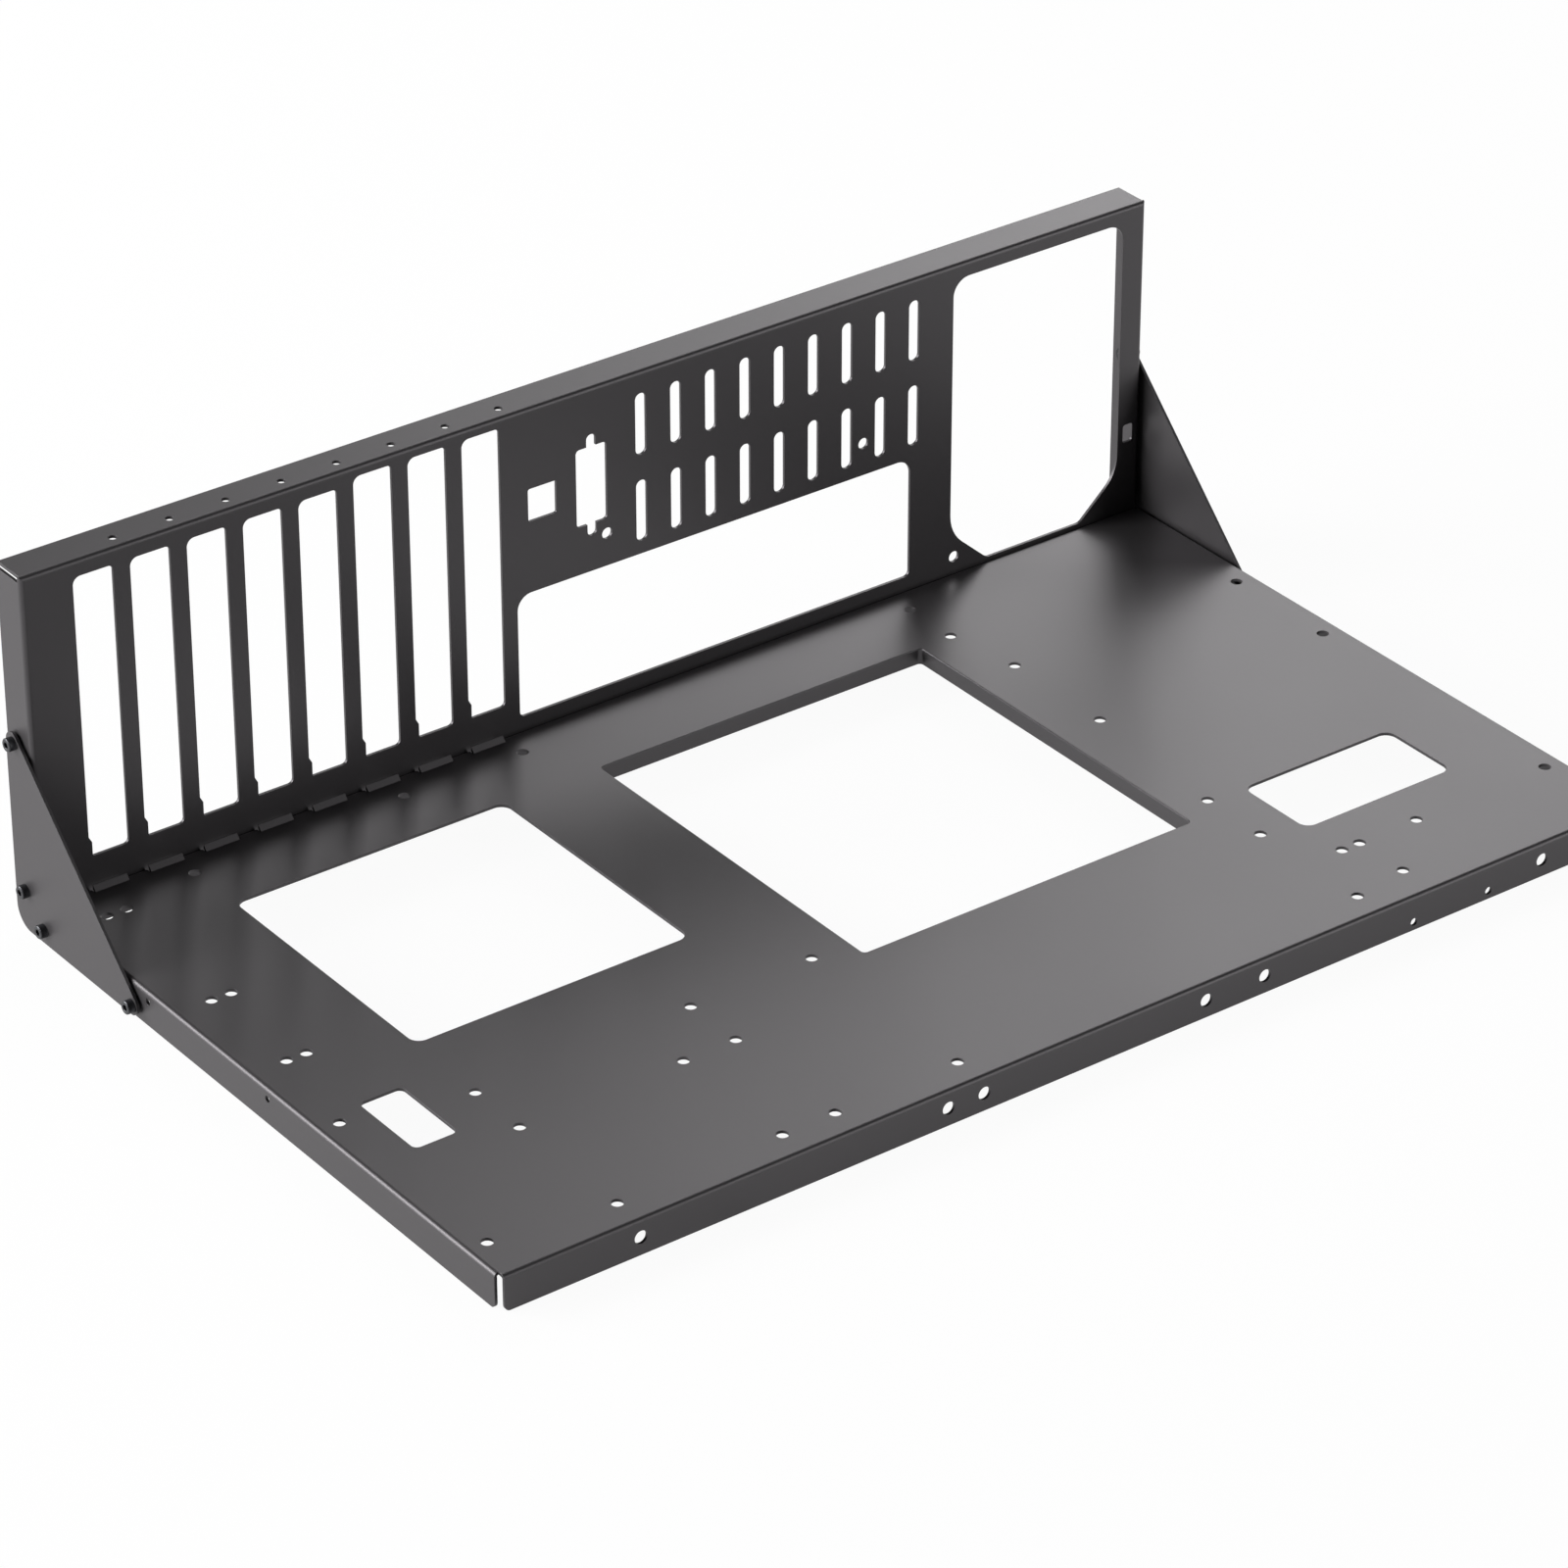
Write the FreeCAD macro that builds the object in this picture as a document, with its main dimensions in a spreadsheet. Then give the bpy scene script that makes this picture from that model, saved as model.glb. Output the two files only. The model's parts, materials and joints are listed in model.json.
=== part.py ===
import FreeCAD, Part
import math
import os
import Sketcher

# Sheet metal chassis: an open tray for a computer board, a rear panel for its
# connectors and cards, and a gusset plate screwed on at each end.
# Lengths are millimetres. X runs to the right, Y to the rear panel, Z up.
# The origin is the middle of the footprint, on the surface it stands on.

# Driving sizes. Tray and panel places are measured from the left side, from the
# right side, from the front edge, from the front of the panel, or from the board
# datum, which is the standoff hole beside the card slots. The datum keeps its
# distance from the right side, so a wider or narrower chassis changes at the left.
SIZES = {
    "width": 438.0,
    "depth": 263.6,
    "height": 128.0,
    "sheet": 1.0,
    "bend_inside": 0.5,
    "tray_height": 12.4,
    "flange_depth": 13.8,
    "front_gap_across": 1.5,
    "front_gap_along": 2.9,
    "rear_gap": 1.6,
    "flange_corner": 2.0,
    # Board datum and the standard board hole pattern
    "datum_from_right": 264.9,
    "datum_from_panel": 11.55,
    "board_hole": 4.0,
    "column_one": 124.46,
    "column_two": 45.72,
    "column_last": 157.48,
    "row_two": 154.94,
    "row_three": 227.33,
    # Extra holes for wider boards and drives
    "extra_column": 65.1,
    "extra_row": 177.95,
    "right_extra_row": 180.9,
    "right_near_row": 22.1,
    "drive_across": 95.25,
    "drive_along": 44.45,
    "drive_row": 50.4,
    "bracket_one": 171.7,
    "bracket_two": 179.0,
    "bracket_three": 202.75,
    "bracket_from_front": 34.65,
    "bracket_pitch": 20.6,
    "edge_column": 7.4,
    "edge_from_front": 93.7,
    "edge_pitch": 76.6,
    "pair_hole": 4.0,
    "pair_from_left": 13.2,
    "pair_pitch": 7.05,
    "pair_row": 17.05,
    "pair_span": 101.6,
    "pair_step": 41.6,
    # Openings in the tray
    "bay_across": 130.0,
    "bay_along": 139.5,
    "bay_from_datum": 79.5,
    "bay_row": 92.45,
    "bay_corner": 1.5,
    "bay_edge": 0.4,
    "collar_height": 5.8,
    "left_bay_from_left": 49.1,
    "left_bay_along": 100.4,
    "left_bay_from_datum": 22.5,
    "left_bay_row": 72.4,
    "small_bay_across": 15.3,
    "small_bay_along": 30.0,
    "small_bay_from_left": 25.05,
    "small_bay_from_front": 83.85,
    "right_bay_across": 61.2,
    "right_bay_along": 30.85,
    "right_bay_from_right": 62.95,
    "right_bay_from_front": 66.9,
    "bay_radius": 4.0,
    "small_radius": 2.2,
    # Holes in the tray's front and side flanges. The first rail hole is measured
    # from the left side, and the others from the right side.
    "rail_hole": 4.5,
    "rail_height": 6.15,
    "rail_one": 49.15,
    "rail_two": 276.65,
    "rail_three": 263.15,
    "rail_four": 177.25,
    "rail_five": 153.95,
    "rail_six": 39.75,
    "catch_hole": 2.7,
    "catch_height": 2.95,
    "catch_one": 93.1,
    "catch_two": 62.1,
    "side_hole": 2.3,
    "side_hole_height": 8.8,
    "side_hole_one": 61.65,
    "side_hole_two": 128.35,
    # Card slots, their screw holes in the top flange and their foot louvers. They
    # are counted leftwards from the datum, as many as the left margin has room for.
    # The slots next to the datum are the tall ones.
    "slot_count": 8,
    "slot_pitch": 20.32,
    "slot_from_datum": 5.48,
    "slot_margin": 16.5,
    "slot_width": 14.3,
    "slot_length": 98.7,
    "slot_bottom": 23.6,
    "slot_corner": 1.8,
    "slot_top_corner": 2.8,
    "tall_slot_count": 3,
    "tall_slot_rise": 2.1,
    "key_width": 1.1,
    "key_height": 5.0,
    "key_slope": 2.0,
    "key_corner": 0.6,
    "card_hole": 2.8,
    "card_hole_side": 10.9,
    "card_hole_back": 5.65,
    "louver_width": 12.4,
    "louver_shift": 1.4,
    "louver_reach": 3.0,
    "louver_gap": 1.3,
    "louver_rise": 1.8,
    "louver_root": 1.2,
    "lance_gap": 0.3,
    "lance_depth": 7.5,
    # Connector cut-outs in the panel
    "port_width": 158.75,
    "port_height": 44.45,
    "port_from_datum": 86.6,
    "port_level": 39.7,
    "port_corner": 2.0,
    "port_top_corner": 5.5,
    "square_side": 11.0,
    "square_height": 11.7,
    "square_from_datum": 17.65,
    "square_level": 93.4,
    "square_corner": 0.8,
    "plug_width": 12.0,
    "plug_height": 28.0,
    "plug_from_datum": 36.85,
    "plug_level": 93.1,
    "plug_corner": 1.5,
    "plug_tab_width": 3.7,
    "plug_tab_span": 36.6,
    "panel_hole": 4.0,
    "panel_hole_one": 42.65,
    "panel_hole_two": 146.2,
    "panel_hole_level": 73.7,
    "panel_hole_right": 79.95,
    "panel_hole_low": 18.55,
    "latch_width": 4.1,
    "latch_height": 6.8,
    "latch_from_right": 5.2,
    "latch_level": 42.2,
    "latch_corner": 1.0,
    # Vent slots in two rows
    "vent_count": 9,
    "vent_pitch": 13.82,
    "vent_from_datum": 56.4,
    "vent_width": 4.3,
    "vent_length": 22.1,
    "vent_low": 77.67,
    "vent_high": 109.0,
    # Tall opening for a power supply
    "supply_width": 72.2,
    "supply_strip": 9.4,
    "supply_bottom": 13.7,
    "supply_top": 122.6,
    "supply_corner": 6.5,
    "supply_chamfer_across": 15.9,
    "supply_chamfer_up": 14.2,
    "supply_chamfer_round": 15.0,
    "supply_foot_round": 3.0,
    # Open seam between the panel's top and side flanges
    "seam_gap": 1.0,
    "top_setback": 0.6,
    # Gusset plates, which stand off the flanges
    "gusset_sheet": 1.0,
    "gusset_gap": 0.8,
    "gusset_length": 74.8,
    "gusset_height": 74.8,
    "gusset_setback": 1.9,
    "gusset_lift": 1.4,
    "gusset_tip": 3.5,
    "gusset_heel": 7.5,
    # Gusset screws and their clinch nuts, as distance behind the panel's front
    # face (negative is in front of it) and height
    "screw_top_back": 7.85,
    "screw_top_level": 67.8,
    "screw_heel_back": 5.8,
    "screw_heel_level": 15.9,
    "screw_foot_back": -4.0,
    "screw_foot_level": 6.3,
    "screw_toe_back": -54.9,
    "screw_toe_level": 4.8,
    "thread": 2.5,
    "screw_length": 5.0,
    "head_across": 4.5,
    "head_height": 2.5,
    "head_edge": 0.25,
    "socket_across": 2.0,
    "socket_depth": 1.3,
    "screw_clearance": 0.4,
    "nut_across": 5.6,
    "nut_height": 1.5,
    "pilot_across": 4.2,
    "fit_gap": 0.05,
}

# Places that several features share, as expressions in the sheet's names
SIDE = "(sizes.width / 2)"
REAR = "(sizes.depth / 2)"
FRONT = "(-sizes.depth / 2)"
PANEL = "(sizes.depth / 2 - sizes.flange_depth)"
DATUM_X = "(sizes.width / 2 - sizes.datum_from_right)"
DATUM_Y = "(sizes.depth / 2 - sizes.flange_depth - sizes.datum_from_panel)"
FIRST_SLOT = "(sizes.width / 2 - sizes.datum_from_right - sizes.slot_from_datum)"
SLOT_ROOM = "(sizes.width - sizes.datum_from_right - sizes.slot_from_datum - sizes.slot_margin)"
SLOTS = f"min(sizes.slot_count; floor({SLOT_ROOM} / sizes.slot_pitch) + 1)"
BEND = "(sizes.bend_inside + sizes.sheet)"
UNDERSIDE = "(sizes.tray_height - sizes.sheet)"
THROUGH = "2 * sizes.sheet"
TOLERANCE = 0.001

doc = FreeCAD.newDocument("sheet_metal_chassis")
sheet = doc.addObject("Spreadsheet::Sheet", "sizes")
for row, (name, number) in enumerate(SIZES.items(), start=1):
    sheet.set(f"A{row}", name)
    sheet.set(f"B{row}", str(number))
    sheet.setAlias(f"B{row}", name)
doc.recompute()


def value(expression):
    """The number that an expression in the sheet's names stands for."""
    return float(sheet.evalExpression(expression))


def left(name):
    """A place measured in from the left side."""
    return f"(sizes.{name} - sizes.width / 2)"


def right(name):
    """A place measured in from the right side."""
    return f"(sizes.width / 2 - sizes.{name})"


def behind(name):
    """A place measured back from the front edge."""
    return f"({FRONT} + sizes.{name})"


def ahead(name):
    """A place measured forward from the front face of the panel."""
    return f"({PANEL} - sizes.{name})"


def beside(name, sign="+"):
    """A place measured sideways from the board datum."""
    return f"({DATUM_X} {sign} sizes.{name})"


def below(name):
    """A place measured forward from the board datum."""
    return f"({DATUM_Y} - sizes.{name})"


def origin_feature(body, role):
    """The origin plane or axis of a body that has the given role."""
    return [item for item in body.Origin.OriginFeatures if item.Role == role][0]


def new_sketch(body, name, plane, offset="0"):
    """An empty sketch on one of the body's origin planes, moved along its normal."""
    sketch = body.newObject("Sketcher::SketchObject", name)
    sketch.AttachmentSupport = [(origin_feature(body, plane), "")]
    sketch.MapMode = "FlatFace"
    sketch.setExpression(".AttachmentOffset.Base.z", offset)
    return sketch


def pin(sketch, geometry, end, across, up):
    """Place one point of a sketch at two expressions from the sketch's origin."""
    for kind, expression in (("DistanceX", across), ("DistanceY", up)):
        item = Sketcher.Constraint(kind, -1, 1, geometry, end, value(expression))
        index = sketch.addConstraint(item)
        sketch.setExpression(f"Constraints[{index}]", expression)


def set_size(sketch, kind, geometry, expression):
    """Give an arc or circle its radius or diameter."""
    index = sketch.addConstraint(Sketcher.Constraint(kind, geometry, value(expression)))
    sketch.setExpression(f"Constraints[{index}]", expression)


def round_corner(before, here, after, radius):
    """Tangent points, centre and turn of an arc that rounds one corner."""
    toward_before = (before - here).normalize()
    toward_after = (after - here).normalize()
    half = toward_before.getAngle(toward_after) / 2
    cut_back = radius / math.tan(half)
    start = here + toward_before * cut_back
    end = here + toward_after * cut_back
    middle = (toward_before + toward_after).normalize()
    centre = here + middle * (radius / math.sin(half))
    turns_left = toward_before.cross(toward_after).z < 0
    return start, end, centre, turns_left


def outline(sketch, corners):
    """A closed outline. Each corner is across, up and a radius, or None if sharp."""
    places = [FreeCAD.Vector(value(across), value(up), 0) for across, up, radius in corners]
    count = len(corners)
    arcs = {}
    for index, (across, up, radius) in enumerate(corners):
        if radius:
            before = places[index - 1]
            after = places[(index + 1) % count]
            arcs[index] = round_corner(before, places[index], after, value(radius))
    lines = []
    for index in range(count):
        following = (index + 1) % count
        start = arcs[index][1] if index in arcs else places[index]
        end = arcs[following][0] if following in arcs else places[following]
        lines.append(sketch.addGeometry(Part.LineSegment(start, end)))
    for index, (across, up, radius) in enumerate(corners):
        incoming = lines[index - 1]
        outgoing = lines[index]
        if index not in arcs:
            sketch.addConstraint(Sketcher.Constraint("Coincident", incoming, 2, outgoing, 1))
            pin(sketch, outgoing, 1, across, up)
            continue
        start, end, centre, turns_left = arcs[index]
        circle = Part.Circle(centre, FreeCAD.Vector(0, 0, 1), (start - centre).Length)
        first, last = (start, end) if turns_left else (end, start)
        first_angle = math.atan2(first.y - centre.y, first.x - centre.x)
        last_angle = math.atan2(last.y - centre.y, last.x - centre.x)
        arc = sketch.addGeometry(Part.ArcOfCircle(circle, first_angle, last_angle))
        start_end, end_end = (1, 2) if turns_left else (2, 1)
        sketch.addConstraint(Sketcher.Constraint("Tangent", incoming, 2, arc, start_end))
        sketch.addConstraint(Sketcher.Constraint("Tangent", arc, end_end, outgoing, 1))
        corner = sketch.addGeometry(Part.Point(places[index]), True)
        sketch.addConstraint(Sketcher.Constraint("PointOnObject", corner, 1, incoming))
        sketch.addConstraint(Sketcher.Constraint("PointOnObject", corner, 1, outgoing))
        pin(sketch, corner, 1, across, up)
        set_size(sketch, "Radius", arc, radius)


def box_outline(sketch, low_x, high_x, low_y, high_y, radius=None):
    """A rectangle between four expressions, with its corners rounded alike."""
    corners = [(low_x, low_y), (high_x, low_y), (high_x, high_y), (low_x, high_y)]
    outline(sketch, [(across, up, radius) for across, up in corners])


def window(sketch, across, up, width, height, radius=None):
    """A rectangle about its middle, with its corners rounded alike."""
    box_outline(
        sketch,
        f"{across} - {width} / 2",
        f"{across} + {width} / 2",
        f"{up} - {height} / 2",
        f"{up} + {height} / 2",
        radius,
    )


def upright_slot(sketch, across, up, width, length):
    """A slot with round ends that stands upright about its middle."""
    centre = FreeCAD.Vector(value(across), value(up), 0)
    radius = value(f"{width} / 2")
    rise = FreeCAD.Vector(0, value(f"({length} - {width}) / 2"), 0)
    half_width = FreeCAD.Vector(radius, 0, 0)
    normal = FreeCAD.Vector(0, 0, 1)
    high_circle = Part.Circle(centre + rise, normal, radius)
    low_circle = Part.Circle(centre - rise, normal, radius)
    high = sketch.addGeometry(Part.ArcOfCircle(high_circle, 0, math.pi))
    low = sketch.addGeometry(Part.ArcOfCircle(low_circle, math.pi, 2 * math.pi))
    near = sketch.addGeometry(Part.LineSegment(centre - half_width + rise, centre - half_width - rise))
    far = sketch.addGeometry(Part.LineSegment(centre + half_width - rise, centre + half_width + rise))
    sketch.addConstraint(Sketcher.Constraint("Tangent", high, 2, near, 1))
    sketch.addConstraint(Sketcher.Constraint("Tangent", near, 2, low, 1))
    sketch.addConstraint(Sketcher.Constraint("Tangent", low, 2, far, 1))
    sketch.addConstraint(Sketcher.Constraint("Tangent", far, 2, high, 1))
    pin(sketch, high, 3, across, f"{up} + ({length} - {width}) / 2")
    pin(sketch, low, 3, across, f"{up} - ({length} - {width}) / 2")
    set_size(sketch, "Radius", low, f"{width} / 2")


def circles(sketch, places, diameter):
    """Circles of one diameter at a list of places."""
    normal = FreeCAD.Vector(0, 0, 1)
    for across, up in places:
        centre = FreeCAD.Vector(value(across), value(up), 0)
        circle = sketch.addGeometry(Part.Circle(centre, normal, value(f"{diameter} / 2")))
        pin(sketch, circle, 3, across, up)
        set_size(sketch, "Diameter", circle, diameter)


def pad(body, name, sketch, length, reverse=False, both_sides=False):
    """Grow a sketch into material."""
    feature = body.newObject("PartDesign::Pad", name)
    feature.Profile = sketch
    feature.setExpression("Length", length)
    feature.Reversed = reverse
    if both_sides:
        feature.SideType = "Symmetric"
    doc.recompute()
    return feature


def pocket(body, name, sketch, depth, reverse=False):
    """Cut a sketch out of the body, and make sure that it removes material."""
    before = body.Tip.Shape.Volume
    feature = body.newObject("PartDesign::Pocket", name)
    feature.Profile = sketch
    feature.setExpression("Length", depth)
    feature.Reversed = reverse
    doc.recompute()
    if not feature.Shape.Volume < before - TOLERANCE:
        raise RuntimeError(f"{name} cuts nothing")
    return feature


def fillet(body, name, radius, chosen):
    """Round the edges of the body's tip that a test on their boxes chooses."""
    base = body.Tip
    edges = [f"Edge{i}" for i, edge in enumerate(base.Shape.Edges, start=1) if chosen(edge.BoundBox)]
    feature = body.newObject("PartDesign::Fillet", name)
    feature.Base = (base, edges)
    feature.setExpression("Radius", radius)
    doc.recompute()
    return feature


def row_of(body, name, features, pitch, count, to_left=False):
    """Repeat features along X, to the right or to the left."""
    pattern = body.newObject("PartDesign::LinearPattern", name)
    pattern.Originals = features
    pattern.Direction = (origin_feature(body, "X_Axis"), [""])
    pattern.Reversed = to_left
    pattern.Mode = "Spacing"
    pattern.setExpression("Offset", pitch)
    pattern.setExpression("Occurrences", count)
    body.Tip = pattern
    doc.recompute()
    return pattern


def mirror(body, name, features):
    """Repeat features on the other side of the middle plane."""
    copy = body.newObject("PartDesign::Mirrored", name)
    copy.Originals = features
    copy.MirrorPlane = (origin_feature(body, "YZ_Plane"), [""])
    body.Tip = copy
    doc.recompute()
    return copy


def near(first, second):
    """Whether two lengths are the same."""
    return abs(first - second) < TOLERANCE


def level_at(box, height):
    """Whether an edge's box lies flat at a height."""
    return near(box.ZMin, height) and near(box.ZMax, height)


def new_body(label):
    """A body that becomes one named sub-part."""
    body = doc.addObject("PartDesign::Body", label)
    body.Label = label
    return body


# Base tray
# One sheet with a flange folded down on each of its four sides. Its corners are
# open, and the large bay has a collar turned down round it.

def fold_tray(body):
    """The folded tray without its holes."""
    blank = new_sketch(body, "tray_blank", "XY_Plane")
    box_outline(blank, f"-{SIDE}", SIDE, FRONT, PANEL)
    pad(body, "tray_block", blank, "sizes.tray_height")
    top = value("sizes.tray_height")
    fillet(body, "tray_outer_bends", BEND, lambda box: level_at(box, top))
    inside = new_sketch(body, "tray_inside", "XY_Plane")
    box_outline(
        inside,
        f"sizes.sheet - {SIDE}",
        f"{SIDE} - sizes.sheet",
        f"{FRONT} + sizes.sheet",
        f"{PANEL} - sizes.sheet",
    )
    pocket(body, "tray_hollow", inside, UNDERSIDE, reverse=True)
    under = value(UNDERSIDE)
    fillet(body, "tray_inner_bends", "sizes.bend_inside", lambda box: level_at(box, under))


def open_tray_corners(body):
    """Notches that part the flanges at the four corners, and their rounded ends."""
    for name, across, low, high in (
        ("front_notch", "sizes.front_gap_across", FRONT, f"{FRONT} + sizes.front_gap_along"),
        ("rear_notch", "sizes.rear_gap", f"{PANEL} - sizes.rear_gap", PANEL),
    ):
        corner = new_sketch(body, name, "XY_Plane")
        box_outline(corner, f"{SIDE} - {across}", SIDE, low, high)
        cut = pocket(body, f"{name}_right", corner, "sizes.tray_height", reverse=True)
        mirror(body, f"{name}_left", [cut])
    sheet_size = value("sizes.sheet")
    fillet(
        body,
        "flange_corners",
        "sizes.flange_corner",
        lambda box: level_at(box, 0) and near(box.DiagonalLength, sheet_size),
    )


def cut_bays(body):
    """The large bay with its collar, and three plain openings."""
    bay_x = beside("bay_from_datum")
    bay_y = below("bay_row")
    ring = new_sketch(body, "collar_ring", "XY_Plane", "sizes.tray_height - sizes.collar_height")
    window(
        ring,
        bay_x,
        bay_y,
        "(sizes.bay_across + 2 * sizes.sheet)",
        "(sizes.bay_along + 2 * sizes.sheet)",
        "sizes.bay_corner + sizes.sheet",
    )
    pad(body, "collar", ring, "sizes.collar_height - sizes.sheet / 2")
    bay = new_sketch(body, "bay_outline", "XY_Plane", "sizes.tray_height")
    window(bay, bay_x, bay_y, "sizes.bay_across", "sizes.bay_along", "sizes.bay_corner")
    pocket(body, "bay", bay, "sizes.collar_height")
    top = value("sizes.tray_height")
    reach_x = value("sizes.bay_across") / 2 + TOLERANCE
    reach_y = value("sizes.bay_along") / 2 + TOLERANCE
    middle = FreeCAD.Vector(value(bay_x), value(bay_y), top)

    def on_bay_edge(box):
        inside_x = abs(box.Center.x - middle.x) < reach_x
        inside_y = abs(box.Center.y - middle.y) < reach_y
        return level_at(box, top) and inside_x and inside_y

    fillet(body, "bay_edge_bend", "sizes.bay_edge", on_bay_edge)
    plain = new_sketch(body, "plain_bays", "XY_Plane", "sizes.tray_height")
    box_outline(
        plain,
        left("left_bay_from_left"),
        beside("left_bay_from_datum", "-"),
        f"{below('left_bay_row')} - sizes.left_bay_along / 2",
        f"{below('left_bay_row')} + sizes.left_bay_along / 2",
        "sizes.bay_radius",
    )
    window(
        plain,
        left("small_bay_from_left"),
        behind("small_bay_from_front"),
        "sizes.small_bay_across",
        "sizes.small_bay_along",
        "sizes.small_radius",
    )
    window(
        plain,
        right("right_bay_from_right"),
        behind("right_bay_from_front"),
        "sizes.right_bay_across",
        "sizes.right_bay_along",
        "sizes.bay_radius",
    )
    pocket(body, "plain_openings", plain, THROUGH)


def board_places():
    """Standoff holes of the standard board pattern."""
    columns = (beside("column_one", "-"), beside("column_two", "-"), DATUM_X, beside("column_last"))
    rows = (DATUM_Y, below("row_two"), below("row_three"))
    return [(column, row) for column in columns for row in rows]


def extra_places():
    """Holes of the same size for other boards, drives and brackets."""
    bracket_row = behind("bracket_from_front")
    edge_row = behind("edge_from_front")
    places = [
        (beside("column_one", "-"), below("extra_row")),
        (beside("column_two", "-"), below("extra_row")),
        (beside("extra_column", "-"), below("extra_row")),
        (beside("extra_column", "-"), below("row_three")),
        (beside("column_last"), below("right_near_row")),
        (beside("column_last"), below("right_extra_row")),
        (beside("bracket_two"), f"({bracket_row} - sizes.bracket_pitch)"),
        (left("edge_column"), edge_row),
        (left("edge_column"), f"({edge_row} - sizes.edge_pitch)"),
    ]
    drive_row = below("drive_row")
    for row in (drive_row, f"({drive_row} - sizes.drive_along)"):
        places.append((f"({right('edge_column')} - sizes.drive_across)", row))
        places.append((right("edge_column"), row))
    for column in ("bracket_one", "bracket_two", "bracket_three"):
        places.append((beside(column), bracket_row))
    places.append((right("edge_column"), bracket_row))
    return places


def pair_places(rows):
    """Pairs of holes along the left side, for a drive that stands on its edge."""
    first = left("pair_from_left")
    second = f"({first} + sizes.pair_pitch)"
    return [(column, row) for column in (first, second) for row in rows]


def drill_tray(body):
    """Holes in the tray's floor and flanges."""
    rear_pair = ahead("pair_row")
    front_pair = f"({rear_pair} - sizes.pair_span)"
    middle_pair = f"({front_pair} + sizes.pair_step)"
    for name, places, diameter in (
        ("board_holes", board_places(), "sizes.board_hole"),
        ("extra_holes", extra_places(), "sizes.board_hole"),
        ("pair_holes", pair_places([middle_pair, front_pair]), "sizes.board_hole"),
        ("rear_pair_holes", pair_places([rear_pair]), "sizes.pair_hole"),
    ):
        sketch = new_sketch(body, f"{name}_sketch", "XY_Plane", "sizes.tray_height")
        circles(sketch, places, diameter)
        pocket(body, name, sketch, THROUGH)
    rails = ("rail_two", "rail_three", "rail_four", "rail_five", "rail_six")
    catches = ("catch_one", "catch_two")
    front = new_sketch(body, "front_holes_sketch", "XZ_Plane", f"-{FRONT}")
    rail_columns = [left("rail_one")] + [right(rail) for rail in rails]
    circles(front, [(column, "sizes.rail_height") for column in rail_columns], "sizes.rail_hole")
    circles(front, [(right(catch), "sizes.catch_height") for catch in catches], "sizes.catch_hole")
    pocket(body, "front_holes", front, THROUGH)
    side = new_sketch(body, "side_holes_sketch", "YZ_Plane", SIDE)
    side_rows = [ahead("side_hole_one"), ahead("side_hole_two")]
    circles(side, [(row, "sizes.side_hole_height") for row in side_rows], "sizes.side_hole")
    pilots = [screw_place("foot"), screw_place("toe")]
    circles(side, pilots, "sizes.pilot_across + 2 * sizes.fit_gap")
    cut = pocket(body, "side_holes", side, THROUGH)
    mirror(body, "side_holes_left", [cut])


def raise_louvers(body):
    """Lanced louvers that hold the foot of each card bracket against the panel."""
    slit = new_sketch(body, "lance_sketch", "XY_Plane", "sizes.tray_height")
    middle = f"({FIRST_SLOT} - sizes.louver_shift)"
    half = "(sizes.louver_width / 2 + sizes.lance_gap)"
    box_outline(
        slit,
        f"{middle} - {half}",
        f"{middle} + {half}",
        ahead("louver_reach"),
        PANEL,
    )
    lance = pocket(body, "lance", slit, "sizes.lance_depth")
    profile = new_sketch(body, "louver_sketch", "YZ_Plane", middle)
    foot = ahead("louver_reach")
    lip = ahead("louver_gap")
    root = f"({foot} - sizes.louver_root)"
    run = "(sizes.louver_reach - sizes.louver_gap)"
    slope = math.hypot(value(run), value("sizes.louver_rise"))
    upright = f"(sizes.sheet * {slope} / {run})"
    lip_top = "(sizes.tray_height + sizes.louver_rise)"
    lip_under = f"({lip_top} - {upright})"
    under_foot = f"({lip} - ({lip_under} - {UNDERSIDE}) * {run} / sizes.louver_rise)"
    outline(profile, [
        (root, UNDERSIDE, None),
        (under_foot, UNDERSIDE, None),
        (lip, lip_under, None),
        (lip, lip_top, None),
        (foot, "sizes.tray_height", None),
        (root, "sizes.tray_height", None),
    ])
    tab = pad(body, "louver", profile, "sizes.louver_width", both_sides=True)
    row_of(body, "louvers", [lance, tab], "sizes.slot_pitch", SLOTS, to_left=True)


# Rear panel
# A tall sheet with flanges folded back at its top and sides. Its foot stands
# behind the tray's rear flange. It holds the card slots, the connector window,
# the vents and the opening for a power supply.

def fold_panel(body):
    """The folded panel without its cut-outs."""
    blank = new_sketch(body, "panel_blank", "XZ_Plane", f"-{PANEL}")
    box_outline(blank, f"-{SIDE}", SIDE, "0", "sizes.height")
    pad(body, "panel_block", blank, "sizes.flange_depth", reverse=True)
    front = value(PANEL)
    top = value("sizes.height")

    def on_front_bend(box):
        on_face = near(box.YMin, front) and near(box.YMax, front)
        return on_face and not level_at(box, 0)

    fillet(body, "panel_outer_bends", BEND, on_front_bend)
    inside = new_sketch(body, "panel_inside", "XZ_Plane", f"-{REAR}")
    box_outline(inside, f"sizes.sheet - {SIDE}", f"{SIDE} - sizes.sheet", "0", "sizes.height - sizes.sheet")
    pocket(body, "panel_hollow", inside, "sizes.flange_depth - sizes.sheet", reverse=True)
    back = value(f"{PANEL} + sizes.sheet")
    sheet_size = value("sizes.sheet")

    def on_inner_bend(box):
        on_back = near(box.YMin, back) and near(box.YMax, back)
        inside_top = box.ZMax < top - sheet_size + TOLERANCE
        return on_back and inside_top and not level_at(box, 0)

    fillet(body, "panel_inner_bends", "sizes.bend_inside", on_inner_bend)


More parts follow.
